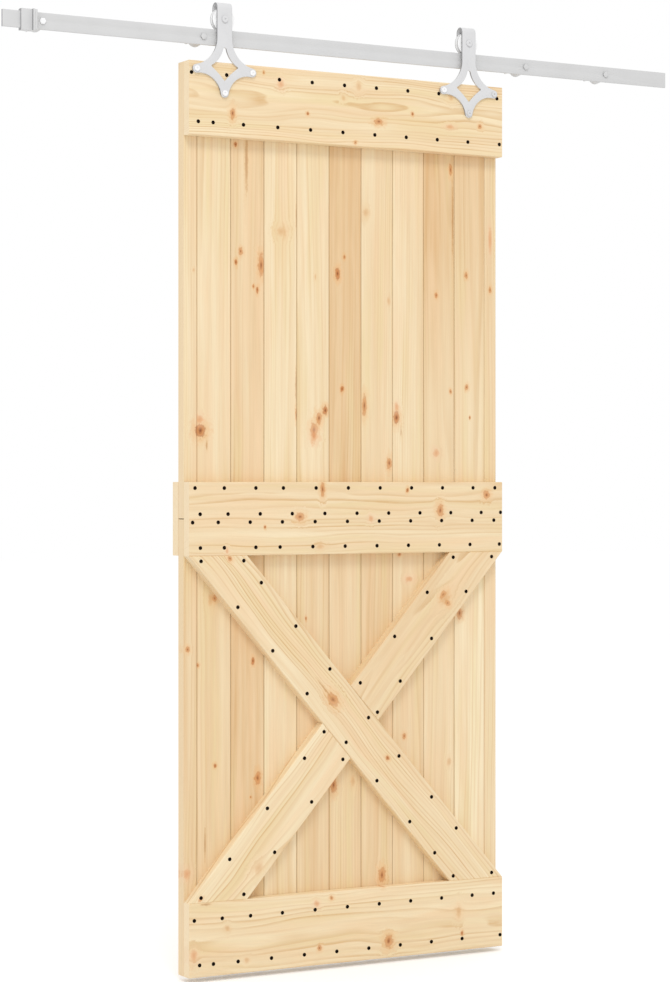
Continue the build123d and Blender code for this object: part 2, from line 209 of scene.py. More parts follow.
def seen_rays(tree: Tree) -> Socket:
    """Marks the rays by which an eye sees a surface: straight, in a mirror or through glass.

    Args:
        tree: The node tree of a material or a world.

    Returns:
        1 for those rays, and 0 for the light that falls on other surfaces.
    """
    path = tree.nodes.new("ShaderNodeLightPath")
    seen = path.outputs["Is Camera Ray"]
    for name in ("Is Glossy Ray", "Is Transmission Ray"):
        seen = add_node(tree, "Math", {0: seen, 1: path.outputs[name]}, operation="MAXIMUM")
    return seen


def side_lean(tree: Tree, axis: str) -> Socket:
    """Measures how far a face looks along an axis, either way.

    Args:
        tree: The material's node tree.
        axis: The axis: X, Y or Z.

    Returns:
        0 for a face that lies along the axis and 1 for one that faces it.
    """
    normal = add_node(tree, "NewGeometry", out="Normal")
    lean = add_node(tree, "SeparateXYZ", {0: normal}, axis)
    return add_node(tree, "Math", {0: lean}, operation="ABSOLUTE")


def set_material(piece: bpy.types.Object, material: bpy.types.Material) -> None:
    """Makes a material the only one of a piece."""
    piece.data.materials.clear()
    piece.data.materials.append(material)


def set_ramp(socket: Socket, stops: Iterable[tuple[float, Tone]]) -> None:
    """Gives the colour ramp behind a socket its stops.

    Args:
        socket: An output of a colour ramp node.
        stops: Place along the ramp and linear colour with alpha, in order.
    """
    ramp = socket.node.color_ramp
    for index, (place, colour) in enumerate(stops):
        stop = ramp.elements[index] if index < 2 else ramp.elements.new(place)
        stop.position = place
        stop.color = colour


@dataclass(frozen=True)
class PhotoCamera:
    """The camera of the photograph, in the part's frame."""

    frame_px: tuple[int, int] = (670, 982)
    place_m: Point = (-2.9475, -5.2985, -1.0265)
    yaw_deg: float = 29.17
    focal_px: float = 2548.0
    horizon_row_px: float = 483.9
    sensor_mm: float = 36.0
    clip_m: float = 100.0

    def build(self) -> None:
        """Makes the camera and gives it to the scene."""
        lens = bpy.data.cameras.new("photo_camera")
        lens.sensor_width = self.sensor_mm
        lens.lens = self.focal_px / self.frame_px[1] * self.sensor_mm
        lens.shift_y = (self.horizon_row_px - self.frame_px[1] / 2) / self.frame_px[1]
        lens.clip_end = self.clip_m
        camera = bpy.data.objects.new("photo_camera", lens)
        camera.location = self.place_m
        camera.rotation_euler = (math.pi / 2, 0.0, -math.radians(self.yaw_deg))
        bpy.context.scene.collection.objects.link(camera)
        bpy.context.scene.camera = camera

    def on_plane(self, pixel: Pixel, plane_y: float) -> Vector:
        """Finds where a pixel's ray meets an upright plane that faces the viewer.

        Args:
            pixel: Column and row in the photograph's frame.
            plane_y: The plane's Y, in metres.

        Returns:
            The point on that plane, in metres.
        """
        yaw = math.radians(self.yaw_deg)
        ahead = Vector((math.sin(yaw), math.cos(yaw), 0)) * self.focal_px
        aside = Vector((math.cos(yaw), -math.sin(yaw), 0)) * (pixel[0] - self.frame_px[0] / 2)
        ray = ahead + aside + Vector((0, 0, self.horizon_row_px - pixel[1]))
        place = Vector(self.place_m)
        return place + ray * ((plane_y - place.y) / ray.y)


class Grain(Enum):
    """The way in which a board's grain runs on the door's face."""

    UPRIGHT = 0
    LEVEL = 1
    FALLING = 2
    RISING = 3

    def turn(self, run: float, rise: float) -> float:
        """Finds the turn about Y that brings the grain upright.

        Args:
            run: How far a brace runs across.
            rise: How far a brace runs up.

        Returns:
            The angle in radians.
        """
        lean = math.atan2(run, rise)
        turns = {Grain.UPRIGHT: 0.0, Grain.LEVEL: -math.pi / 2, Grain.FALLING: lean, Grain.RISING: -lean}
        return turns[self]


class KnotKind(Enum):
    """Kinds of knot and resin mark: the colour and strength from the heart to the edge of the halo."""

    SOUND = (("#8C4010", 0.90), ("#D68C48", 0.68), ("#C67834", 0.58), ("#EAB67C", 0.38))
    DARK = (("#74300A", 0.94), ("#CC7C38", 0.80), ("#B26224", 0.68), ("#E8B074", 0.44))
    FAINT = (("#CF9458", 0.50), ("#D9A46C", 0.42), ("#E0B07C", 0.30), ("#E8C090", 0.18))
    PINK = (("#D88A58", 0.60), ("#E2A072", 0.52), ("#E8B288", 0.42), ("#F0C6A4", 0.25))
    STREAK = (("#A8672C", 0.60), ("#BB803F", 0.48), ("#CD9A5A", 0.30), ("#E0B67C", 0.14))


@dataclass(frozen=True)
class Knot:
    """One knot, by its place in the photograph and its real size."""

    pixel: Pixel
    width_mm: float
    height_mm: float
    kind: KnotKind = KnotKind.SOUND


DARK, FAINT, PINK, STREAK = KnotKind.DARK, KnotKind.FAINT, KnotKind.PINK, KnotKind.STREAK

# Knots and resin streaks that the photograph shows, board by board.
KNOTS: dict[str, tuple[Knot, ...]] = {
    "upper_plank_01": (
        Knot((193.7, 269.8), 6, 9, FAINT),
        Knot((181.5, 306), 5, 60, STREAK),
        Knot((200.4, 430.5), 24, 30, DARK),
    ),
    "upper_plank_02": (
        Knot((200.4, 430.5), 24, 30, DARK),
        Knot((199.6, 419), 16, 20, PINK),
        Knot((206.8, 445.7), 4, 24, STREAK),
    ),
    "upper_plank_03": (
        Knot((240.6, 251.3), 10, 16),
        Knot((235.9, 262.2), 7, 14, DARK),
        Knot((261.2, 265), 15, 46),
        Knot((253.4, 286.3), 5, 9),
        Knot((257.2, 289.6), 6, 15, DARK),
        Knot((235.7, 144.4), 7, 10, DARK),
        Knot((246.5, 160), 9, 160, STREAK),
    ),
    "upper_plank_04": (
        Knot((281.3, 231.5), 26, 22, FAINT),
        Knot((296.2, 215), 3, 60, STREAK),
        Knot((296.0, 385), 4, 90, STREAK),
        Knot((296.4, 415), 5, 26),
    ),
    "upper_plank_05": (
        Knot((315.4, 277), 5, 14, FAINT),
        Knot((314, 430), 19, 34),
        Knot((319, 418), 14, 26),
        Knot((325.2, 410.5), 12, 20, DARK),
        Knot((314, 437), 18, 30, PINK),
    ),
    "upper_plank_06": (
        Knot((337.6, 273.5), 12, 24, DARK),
        Knot((344.3, 256.9), 6, 10),
        Knot((342.1, 389), 8, 13, DARK),
    ),
    "upper_plank_07": (
        Knot((364.4, 405.6), 12, 45),
        Knot((365.7, 212.7), 16, 22, FAINT),
        Knot((389.3, 463.2), 13, 25),
        Knot((388.5, 301), 8, 18, FAINT),
    ),
    "upper_plank_08": (
        Knot((396.5, 417.6), 16, 28, DARK),
        Knot((396.5, 406), 12, 20, PINK),
        Knot((401, 432), 4, 26, STREAK),
    ),
    "upper_plank_09": (
        Knot((450.6, 169.8), 9, 25),
        Knot((452.5, 219), 4, 190, STREAK),
        Knot((436.2, 295.2), 8, 13),
        Knot((450.6, 391.6), 6, 10),
        Knot((436.2, 453), 16, 20, PINK),
    ),
    "upper_plank_10": (
        Knot((466.2, 275.6), 9, 14),
        Knot((466.7, 387.3), 9, 14),
        Knot((469.7, 417.6), 4, 6, DARK),
    ),
    "upper_plank_11": (Knot((490, 240), 10, 60, PINK), Knot((490, 290), 7, 14)),
    "top_rail": (
        Knot((232.6, 113.3), 12, 24),
        Knot((281, 83.8), 16, 18, PINK),
        Knot((358.8, 86.2), 14, 22, FAINT),
        Knot((343.5, 98), 12, 14, FAINT),
        Knot((307.9, 113.8), 6, 8, DARK),
        Knot((378.9, 121.6), 22, 14),
        Knot((412.6, 114), 6, 8, DARK),
        Knot((450.9, 98), 16, 16, FAINT),
        Knot((449.7, 127), 22, 10, PINK),
        Knot((479.9, 126.3), 10, 12),
        Knot((263.7, 72.4), 5, 7),
        Knot((355.5, 142.5), 7, 8),
    ),
    "front_mid_rail": (
        Knot((322.6, 489.4), 11, 32),
        Knot((300, 516.8), 22, 18),
        Knot((371, 518.4), 12, 14, PINK),
        Knot((440.3, 510.3), 17, 28),
        Knot((407.4, 490), 7, 10, DARK),
        Knot((486.5, 495), 17, 18),
        Knot((320, 546.5), 18, 14, FAINT),
        Knot((265, 527), 5, 7, DARK),
        Knot((227, 551), 8, 14, PINK),
    ),
    "long_brace": (
        Knot((230, 558.5), 10, 13),
        Knot((333, 699.5), 22, 34),
        Knot((324, 688), 5, 60, STREAK),
        Knot((387.7, 758), 8, 11, DARK),
    ),
    "upper_short_brace": (
        Knot((443.2, 594.5), 12, 22),
        Knot((447.5, 603), 14, 12),
        Knot((445, 598.5), 26, 40, FAINT),
    ),
    "lower_short_brace": (Knot((258.5, 868), 22, 30, FAINT), Knot((201, 899), 8, 10)),
    "bottom_rail": (
        Knot((383.9, 884.5), 9, 12),
        Knot((331.6, 898), 9, 9),
        Knot((316.8, 903.9), 14, 16, PINK),
        Knot((388.7, 941), 20, 30),
        Knot((458.7, 911.9), 15, 28, FAINT),
        Knot((462, 933), 7, 9, DARK),
        Knot((319.4, 948), 10, 12),
        Knot((246.8, 960), 12, 12, FAINT),
        Knot((194, 955.5), 16, 26, PINK),
        Knot((227.4, 928), 12, 14, FAINT),
        Knot((206, 904.5), 28, 6, STREAK),
    ),
    "lower_plank_01": (Knot((187.7, 649.5), 10, 13), Knot((187, 874), 18, 26, PINK)),
    "lower_plank_02": (
        Knot((197.6, 665.5), 8, 9),
        Knot((214.5, 598.5), 10, 14),
        Knot((210.5, 600), 14, 30, FAINT),
        Knot((215.1, 766), 7, 10, DARK),
        Knot((195.2, 825), 4, 190, STREAK),
        Knot((205, 845), 5, 80, STREAK),
    ),
    "lower_plank_03": (Knot((252.9, 661), 8, 16, DARK), Knot((257.6, 778), 14, 28), Knot((250.6, 797), 4, 6)),
    "lower_plank_05": (Knot((306, 618.8), 4, 8, DARK),),
    "lower_plank_06": (Knot((363, 582), 7, 18), Knot((333.5, 785), 16, 36), Knot((353, 781), 12, 26, FAINT)),
    "lower_plank_07": (Knot((382, 875), 18, 34),),
    "lower_plank_08": (Knot((399.5, 554), 9, 10), Knot((409, 579), 20, 14, PINK), Knot((404.2, 736), 9, 13)),
    "lower_plank_09": (Knot((449, 762), 14, 20, FAINT),),
    "lower_plank_10": (Knot((459.5, 613), 16, 26),),
}

# How deep each board's tone is, from 0 for pale to about 1 for deep, with planks from left to right.
UPPER_PLANK_TONES = (0.40, 0.36, 0.68, 0.16, 0.20, 1.02, 0.42, 0.34, 1.12, 0.95, 0.50)
LOWER_PLANK_TONES = (0.72, 0.62, 1.05, 0.34, 0.66, 0.66, 0.70, 0.52, 0.42, 0.00, 0.30)
BOARD_TONES = {
    "top_rail": 0.30,
    "front_mid_rail": 0.40,
    "back_mid_rail": 0.45,
    "bottom_rail": 0.25,
    "long_brace": 0.30,
    "upper_short_brace": 0.55,
    "lower_short_brace": 0.25,
}
# Planks that grow paler towards their foot, and the share of pale wood that they gain there.
FOOT_FADES = {"upper_plank_09": 0.42, "upper_plank_10": 0.54}


@dataclass(frozen=True)
class Figure:
    """One uneven feature of the wood: its size in the grain, and the part of its noise that shows."""

    size_mm: Point
    detail: float = 2.0
    roughness: float = 0.5
    shown: Span = (0.0, 1.0)
    strength: Span = (0.0, 1.0)

    def noise(self, tree: Tree, local: Socket, seed: Point, out: str = "Fac") -> Socket:
        """Draws the feature's whole noise on one board.

        Args:
            tree: The material's node tree.
            local: The coordinates that the feature follows, in millimetres.
            seed: Where in the endless pattern this board starts.
            out: Fac for one noise, or Color for three at once.

        Returns:
            The noise.
        """
        scale = tuple(1 / size for size in self.size_mm)
        space = add_node(tree, "Mapping", {"Vector": local, "Location": seed, "Scale": scale})
        noise = {"Vector": space, "Scale": 1.0, "Detail": self.detail, "Roughness": self.roughness}
        return add_node(tree, "TexNoise", noise, out)

    def draw(self, tree: Tree, local: Socket, seed: Point) -> Socket:
        """Draws the part of the feature that shows on one board.

        Args:
            tree: The material's node tree.
            local: The coordinates that the feature follows, in millimetres.
            seed: Where in the endless pattern this board starts.

        Returns:
            How strong the feature is at each point.
        """
        (start, full), (low, high) = self.shown, self.strength
        span = {"Value": self.noise(tree, local, seed), "From Min": start, "From Max": full}
        return add_node(tree, "MapRange", span | {"To Min": low, "To Max": high})


@dataclass(frozen=True)
class Stock:
    """A kind of timber: how its grain drifts and how strongly its late wood is lined."""

    drift: Figure
    drift_reach_mm: float
    line_share: float


@dataclass
class Board:
    """One pine board: where it lies, how it was sawn from the log and the knots it shows."""

    name: str
    stock: Stock
    turn: float
    tone: float
    foot_fade: float
    centre_m: Vector
    pith_mm: tuple[float, float]
    ring_mm: float
    taper: float
    seed: Point
    # The tint of the sideways faces: partly the wood's own colour, partly painted light.
    side_tint_and_light: str
    grooved: bool
    knots: list[tuple[Vector, Knot]] = field(default_factory=list)

    def seat(self) -> Vector:
        """Returns the place of the board's middle in its own turned axes, in millimetres."""
        return Matrix.Rotation(self.turn, 3, "Y") @ (self.centre_m / MM)


@dataclass(frozen=True)
class PlanedPine:
    """Bare pine, planed: pale early wood, thin tan late-wood lines and reddish knots under a dull sheen."""

    pale_early: str = "#F9EAC8"
    deep_early: str = "#EACFA7"
    pale_late: str = "#E0BD8C"
    deep_late: str = "#CFA674"
    warm_tint: str = "#F1D2AA"
    honey_tint: str = "#E9D3A2"
    streaks: Figure = Figure((19.0, 19.0, 800.0), detail=3.0, roughness=0.6, shown=(0.32, 0.68))
    warm_patches: Figure = Figure((38.0, 38.0, 330.0), shown=(0.48, 0.72), strength=(0.0, 0.65))
    honey_patches: Figure = Figure((26.0, 26.0, 460.0), shown=(0.50, 0.72), strength=(0.0, 0.60))
    # Late wood stands out in some parts of a board and fades in others.
    presence: Figure = Figure((34.0, 34.0, 700.0), shown=(0.34, 0.62))
    # Fibres are about 0.05 mm wide and are drawn coarser, at 1.4 mm, so that they show.
    fibres: Figure = Figure((1.4, 1.4, 60.0))
    # A knot's outline is uneven, and this multiplies its distances.
    raggedness: Figure = Figure((8.0, 8.0, 10.0), detail=4.0, roughness=0.7, strength=(0.15, 1.85))
    # How much deeper the streaks are than the board's own tone.
    streak_depth: float = 0.65
    # Heights from a board's middle between which its wood turns paler.
    fade_mm: Span = (130.0, -260.0)
    # Good and bad years come in runs, so the rings' width changes over this much of the log.
    ring_change_mm: float = 26.0
    ring_change_detail: float = 1.0
    # Late wood through a year: the place in the year, and how dark the wood is there.
    seasons: tuple[Span, ...] = ((0.0, 0.0), (0.50, 0.06), (0.84, 0.90), (0.93, 0.80), (1.0, 0.0))
    faintest_year: float = 0.15
    # The halo is a multiple of the knot's size, and the grain bends round it over a multiple of the halo.
    halo_reach: float = 2.5
    flow_reach: float = 1.35
    flow_share: float = 0.88
    # Where the colours of a knot's heart, wood, rim and halo lie, as shares of its radius.
    knot_places: tuple[float, ...] = (0.0, 0.62, 0.95, 1.22)
    # How far a face leans sideways where the side tint, partly painted light, starts, and where it is full.
    side_span: Span = (0.90, 0.98)
    side_share: float = 0.75
    # The flanks of the V-grooves between planks, which lean less, are darkened as painted shade.
    groove_shade_span: Span = (0.60, 0.68)
    groove_shade_limit: float = 0.80
    groove_shade_tint: str = "#A88C5E"
    groove_shade_share: float = 0.32
    # The nap of the fibres makes the wood a little darker or lighter.
    nap: Span = (0.94, 1.06)
    # Dense late wood planes smoother than early wood.
    early_roughness: float = 0.60
    late_roughness: float = 0.48
    relief_mm: float = 0.12
    relief_strength: float = 0.5
    ior: float = 1.53
    # Cut fibres scatter most of the light that a closed surface would mirror.
    mirror_share: float = 0.10

    def knot(
        self, tree: Tree, local: Socket, ragged: Socket, flow: Socket, place: Vector, knot: Knot
    ) -> tuple[Socket, Socket]:
        """Works out one knot's distance field and lets the grain flow round it.

        Args:
            tree: The material's node tree.
            local: The board's own coordinates in millimetres.
            ragged: A small noise that roughens the knot's outline.
            flow: The coordinates that the grain follows so far.
            place: The knot's middle in the board's coordinates.
            knot: The knot's kind and its sizes across and along the grain.

        Returns:
            The coordinates that the grain follows, and the knot's colour ramp.
        """
        reach = (self.halo_reach * knot.width_mm / 2, self.halo_reach * knot.height_mm / 2)
        spoke = add_node(tree, "VectorMath", {0: local, 1: tuple(place)}, operation="SUBTRACT")
        unit = {0: spoke, 1: (1 / reach[0], 0, 1 / reach[1])}
        unit = add_node(tree, "VectorMath", unit, operation="MULTIPLY")
        distance = add_node(tree, "VectorMath", {0: unit}, "Value", operation="LENGTH")
        distance = add_node(tree, "Math", {0: distance, 1: ragged}, operation="MULTIPLY")
        pull = {"Value": distance, "From Max": self.flow_reach, "To Min": -self.flow_share, "To Max": 0.0}
        pull = add_node(tree, "MapRange", pull, interpolation_type="SMOOTHSTEP")
        pull = add_node(tree, "CombineXYZ", {"X": pull})
        flow = add_node(tree, "VectorMath", {0: spoke, 1: pull, 2: flow}, operation="MULTIPLY_ADD")
        tones = [(*to_linear(tint)[:3], share) for tint, share in knot.kind.value]
        stops = [(share / self.halo_reach, tone) for share, tone in zip(self.knot_places, tones)]
        stops.append((1.0, (*tones[-1][:3], 0.0)))
        colour = add_node(tree, "ValToRGB", {"Fac": distance})
        set_ramp(colour, stops)
        return flow, colour

    def flow(self, tree: Tree, local: Socket, board: Board) -> tuple[Socket, list[Socket]]:
        """Lets the grain drift along a board and part round its knots.

        Args:
            tree: The material's node tree.
            local: The board's own coordinates in millimetres.
            board: The board, for its stock and knots.

        Returns:
            The coordinates that the grain follows, and the knots' colour ramps.
        """
        reach_mm = board.stock.drift_reach_mm
        drift = board.stock.drift.noise(tree, local, board.seed, "Color")
        drift = add_node(tree, "VectorMath", {0: drift, 1: NOISE_MIDDLE}, operation="SUBTRACT")
        sway = {0: drift, 1: (reach_mm, reach_mm, 0), 2: local}
        flow = add_node(tree, "VectorMath", sway, operation="MULTIPLY_ADD")
        ragged = self.raggedness.draw(tree, local, board.seed)
        ramps = []
        for place, knot in board.knots:
            flow, ramp = self.knot(tree, local, ragged, flow, place, knot)
            ramps.append(ramp)
        return flow, ramps

    def rings(self, tree: Tree, flow: Socket, board: Board) -> Socket:
        """Draws the log's year rings where the board cuts them.

        Args:
            tree: The material's node tree.
            flow: The coordinates that the grain follows.
            board: The board, for its place in the log.

        Returns:
            The late wood, from 0 in early wood to 1 in a strong line.
        """
        spoke = {0: flow, 1: (*board.pith_mm, 0)}
        spoke = add_node(tree, "VectorMath", spoke, operation="SUBTRACT")
        level = add_node(tree, "VectorMath", {0: spoke, 1: (1, 1, 0)}, operation="MULTIPLY")
        radius = add_node(tree, "VectorMath", {0: level}, "Value", operation="LENGTH")
        height = add_node(tree, "SeparateXYZ", {0: flow}, "Z")
        radius = add_node(tree, "Math", {0: height, 1: board.taper, 2: radius}, operation="MULTIPLY_ADD")
        growth = {"W": radius, "Scale": 1 / self.ring_change_mm, "Detail": self.ring_change_detail}
        growth = add_node(tree, "TexNoise", growth, noise_dimensions="1D")
        years = add_node(tree, "Math", {0: radius, 1: 1 / board.ring_mm, 2: growth}, operation="MULTIPLY_ADD")
        season = add_node(tree, "Math", {0: years}, operation="FRACT")
        season = add_node(tree, "ValToRGB", {"Fac": season})
        set_ramp(season, [(place, (dark, dark, dark, 1.0)) for place, dark in self.seasons])
        year = add_node(tree, "Math", {0: years}, operation="FLOOR")
        strength = add_node(tree, "TexWhiteNoise", {"W": year}, noise_dimensions="1D")
        strength = add_node(tree, "MapRange", {"Value": strength, "To Min": self.faintest_year})
        late = add_node(tree, "Math", {0: season, 1: strength}, operation="MULTIPLY")
        presence = self.presence.draw(tree, flow, board.seed[::-1])
        return add_node(tree, "Math", {0: late, 1: presence}, operation="MULTIPLY")

    def grown_layers(self, tree: Tree, flow: Socket, line: Socket, board: Board) -> list[tuple[Socket, Tone]]:
        """Lists the tints that grew in the wood, over the tone of the board.

        Args:
            tree: The material's node tree.
            flow: The coordinates that the grain follows.
            line: The strength of the late-wood lines.
            board: The board, for its tone and seed.

        Returns:
            Each tint's strength and its colour, from the lowest up.
        """
        deeper = between(self.pale_early, self.deep_early, board.tone + self.streak_depth)
        layers = [(self.streaks.draw(tree, flow, board.seed), deeper)]
        if board.foot_fade:
            start, full = self.fade_mm
            fade = add_node(tree, "SeparateXYZ", {0: flow}, "Z")
            fade = {"Value": fade, "From Min": start, "From Max": full, "To Max": board.foot_fade}
            layers.append((add_node(tree, "MapRange", fade), to_linear(self.pale_early)))
        layers.append((self.warm_patches.draw(tree, flow, board.seed), to_linear(self.warm_tint)))
        layers.append((self.honey_patches.draw(tree, flow, board.seed[::-1]), to_linear(self.honey_tint)))
        layers.append((line, between(self.pale_late, self.deep_late, board.tone)))
        return layers

    def side_light_and_groove_shade_layers(self, tree: Tree, board: Board) -> list[tuple[Socket, Tone]]:
        """Lists the tint of a board's sides, partly painted light, and the painted shade in the grooves
        beside it.

        Args:
            tree: The material's node tree.
            board: The board, for its side tint and its grooves.

        Returns:
            Each tint's strength and its colour, from the lowest up.
        """
        lean = side_lean(tree, "X")
        start, full = self.side_span
        side = {"Value": lean, "From Min": start, "From Max": full, "To Max": self.side_share}
        # The sideways faces take the side tint, which is partly painted light.
        layers = [(add_node(tree, "MapRange", side), to_linear(board.side_tint_and_light))]
        # The flanks of the grooves beside the board get painted shade.
        if board.grooved:
            start, full = self.groove_shade_span
            groove = {"Value": lean, "From Min": start, "From Max": full, "To Max": self.groove_shade_share}
            groove = add_node(tree, "MapRange", groove)
            flank = add_node(tree, "Math", {0: lean, 1: self.groove_shade_limit}, operation="LESS_THAN")
            groove = add_node(tree, "Math", {0: groove, 1: flank}, operation="MULTIPLY")
            layers.append((groove, to_linear(self.groove_shade_tint)))
        return layers

    def material(self, board: Board) -> bpy.types.Material:
        """Makes the material of one board.

        Args:
            board: The board to dress.

        Returns:
            A material with that board's own grain and knots.
        """
        material, tree = new_material(f"planed_pine_{board.name}")
        part = add_node(tree, "TexCoord", out="Object")
        local = {"Vector": part, "Location": -board.seat(), "Rotation": (0, board.turn, 0)}
        local = add_node(tree, "Mapping", local | {"Scale": (1 / MM,) * 3})
        flow, ramps = self.flow(tree, local, board)
        late = self.rings(tree, flow, board)
        fibre = self.fibres.noise(tree, flow, board.seed)
        line = add_node(tree, "Math", {0: late, 1: fibre}, operation="MULTIPLY")
        # The fibres that break up the lines halve them on the whole, so they are doubled here.
        line = {0: line, 1: 2 * board.stock.line_share}
        line = add_node(tree, "Math", line, operation="MULTIPLY", use_clamp=True)
        layers = self.grown_layers(tree, flow, line, board) + self.side_light_and_groove_shade_layers(tree, board)
        colour = lay_over(tree, between(self.pale_early, self.deep_early, board.tone), layers)
        darkest, lightest = self.nap
        nap = add_node(tree, "MapRange", {"Value": fibre, "To Min": darkest, "To Max": lightest})
        colour = add_node(tree, "VectorMath", {0: colour, "Scale": nap}, operation="SCALE")
        colour = lay_over(tree, colour, [(ramp.node.outputs["Alpha"], ramp) for ramp in ramps])
        sheen = {"Value": late, "To Min": self.early_roughness, "To Max": self.late_roughness}
        sheen = add_node(tree, "MapRange", sheen)
        relief = add_node(tree, "Math", {0: late, 1: fibre}, operation="ADD")
        bump = {"Strength": self.relief_strength, "Distance": self.relief_mm * MM, "Height": relief}
        bump = add_node(tree, "Bump", bump)
        shader = {"Base Color": colour, "Roughness": sheen, "IOR": self.ior, "Normal": bump}
        shader = add_node(tree, "BsdfPrincipled", shader | {"Specular IOR Level": self.mirror_share})
        add_node_output(tree, shader)
        return material


@dataclass(frozen=True)
class CoatedFinish:
    """A hardware finish: one colour with a slow drift of tone, a fine surface texture and, for some, painted
    edge shade.
    """

    name: str
    colour: str
    worn_colour: str
    roughness: float
    worn_roughness: float = 0.08
    ior: float = 1.5
    metallic: float = 0.0
    mirror_share: float = 0.5
    texture_mm: float = 1.6
    texture_depth_mm: float = 0.02
    texture_strength: float = 0.4
    texture_detail: float = 2.0
    drift_mm: float = 60.0
    drift_detail: float = 3.0
    drift_span: Span = (0.35, 0.70)
    edge_shade_colour: str | None = None
    edge_shade_axis: str = "X"
    # How far a face leans to the axis where the painted edge shade starts, and where it is full. A falling
    # span shades the faces that lie along the axis, such as a wheel's rim.
    edge_shade_span: Span = (0.70, 0.95)

    def layers(self, tree: Tree, drift: Socket) -> list[tuple[Socket, Tone]]:
        """Lists the tints over the finish's colour: its worn drift and any painted edge shade.

        Args:
            tree: The material's node tree.
            drift: Where the finish is worn.

        Returns:
            Each tint's strength and its colour, from the lowest up.
        """
        layers = [(drift, to_linear(self.worn_colour))]
        if self.edge_shade_colour:
            start, full = self.edge_shade_span
            edge = {"Value": side_lean(tree, self.edge_shade_axis), "From Min": start, "From Max": full}
            layers.append((add_node(tree, "MapRange", edge), to_linear(self.edge_shade_colour)))
        return layers

    def material(self) -> bpy.types.Material:
        """Makes the finish's material.

        Returns:
            A material with a drifting tone, a roughness that follows it and a fine relief.
        """
        material, tree = new_material(self.name)
        part = add_node(tree, "TexCoord", out="Object")
        drift = {"Vector": part, "Scale": 1 / (self.drift_mm * MM), "Detail": self.drift_detail}
        drift = add_node(tree, "TexNoise", drift)
        start, full = self.drift_span
        drift = add_node(tree, "MapRange", {"Value": drift, "From Min": start, "From Max": full})
        tone = lay_over(tree, to_linear(self.colour), self.layers(tree, drift))
        grip = {"Value": drift, "To Min": self.roughness, "To Max": self.roughness + self.worn_roughness}
        grip = add_node(tree, "MapRange", grip)
        peel = {"Vector": part, "Scale": 1 / (self.texture_mm * MM), "Detail": self.texture_detail}
        peel = add_node(tree, "TexNoise", peel)
        bump = {"Strength": self.texture_strength, "Distance": self.texture_depth_mm * MM, "Height": peel}
        bump = add_node(tree, "Bump", bump)
        shader = {"Base Color": tone, "Roughness": grip, "Metallic": self.metallic, "IOR": self.ior}
        shader |= {"Normal": bump, "Specular IOR Level": self.mirror_share}
        add_node_output(tree, add_node(tree, "BsdfPrincipled", shader))
        return material


# Powder coat melts into a satin film with a faint orange peel, which blurs the lights into soft bands. The
# cut edges, which face along X, are greyed as painted shade.
POWDER_COATED_STEEL = CoatedFinish("powder_coated_steel", "#D2D2D2", "#CFCFCF", 0.42, edge_shade_colour="#A0A0A1")
# The straps are coated in the same way, from a slightly paler batch.
POWDER_COATED_STRAP = CoatedFinish("powder_coated_strap", "#D9D9DA", "#D6D6D7", 0.42, edge_shade_colour="#989899")
# Bolts are coated like the straps, without the painted edge shade.
POWDER_COATED_BOLT = replace(POWDER_COATED_STRAP, name="powder_coated_bolt", edge_shade_colour=None)
# White lacquer flows out smoother than powder, which leaves the bolts that have it brighter than the plates.
WHITE_LACQUERED_STEEL = CoatedFinish("white_lacquered_steel", "#F8F8F9", "#F3F3F4", 0.35, texture_mm=0.9)
# Turned nylon is milky, with fine tool rings that take the gloss off. Its rims are greyed as painted shade.
TURNED_NYLON = CoatedFinish(
    "turned_nylon",
    "#FAFAFA",
    "#F5F5F5",
    0.48,
    ior=1.53,
    texture_mm=0.7,
    texture_depth_mm=0.03,
    drift_mm=14.0,
    edge_shade_colour="#B4B4B4",
    edge_shade_axis="Y",
    edge_shade_span=(0.75, 0.35),
)
# A turned steel sleeve is bare metal with a fine lathe finish.
TURNED_STEEL = CoatedFinish(
    "turned_steel",
    "#C6C6C8",
    "#B6B6B9",
    0.32,
    metallic=1.0,
    texture_mm=0.4,
    texture_depth_mm=0.01,
    drift_mm=9.0,
)
# Phosphate leaves screws matt and nearly black, with a brown cast where it is thin.
BLACK_PHOSPHATE_STEEL = CoatedFinish(
    "black_phosphate_steel", "#0E0805", "#1A0F08", 0.80, mirror_share=0.08, texture_mm=0.5, drift_mm=3.0
)
# Moulded rubber is dull, with a fine grain from its mould.
MOULDED_RUBBER = CoatedFinish(
    "moulded_rubber",
    "#D6D6D6",
    "#CDCDCD",
    0.72,
    ior=1.52,
    texture_mm=0.8,
    texture_depth_mm=0.04,
    drift_mm=20.0,
)


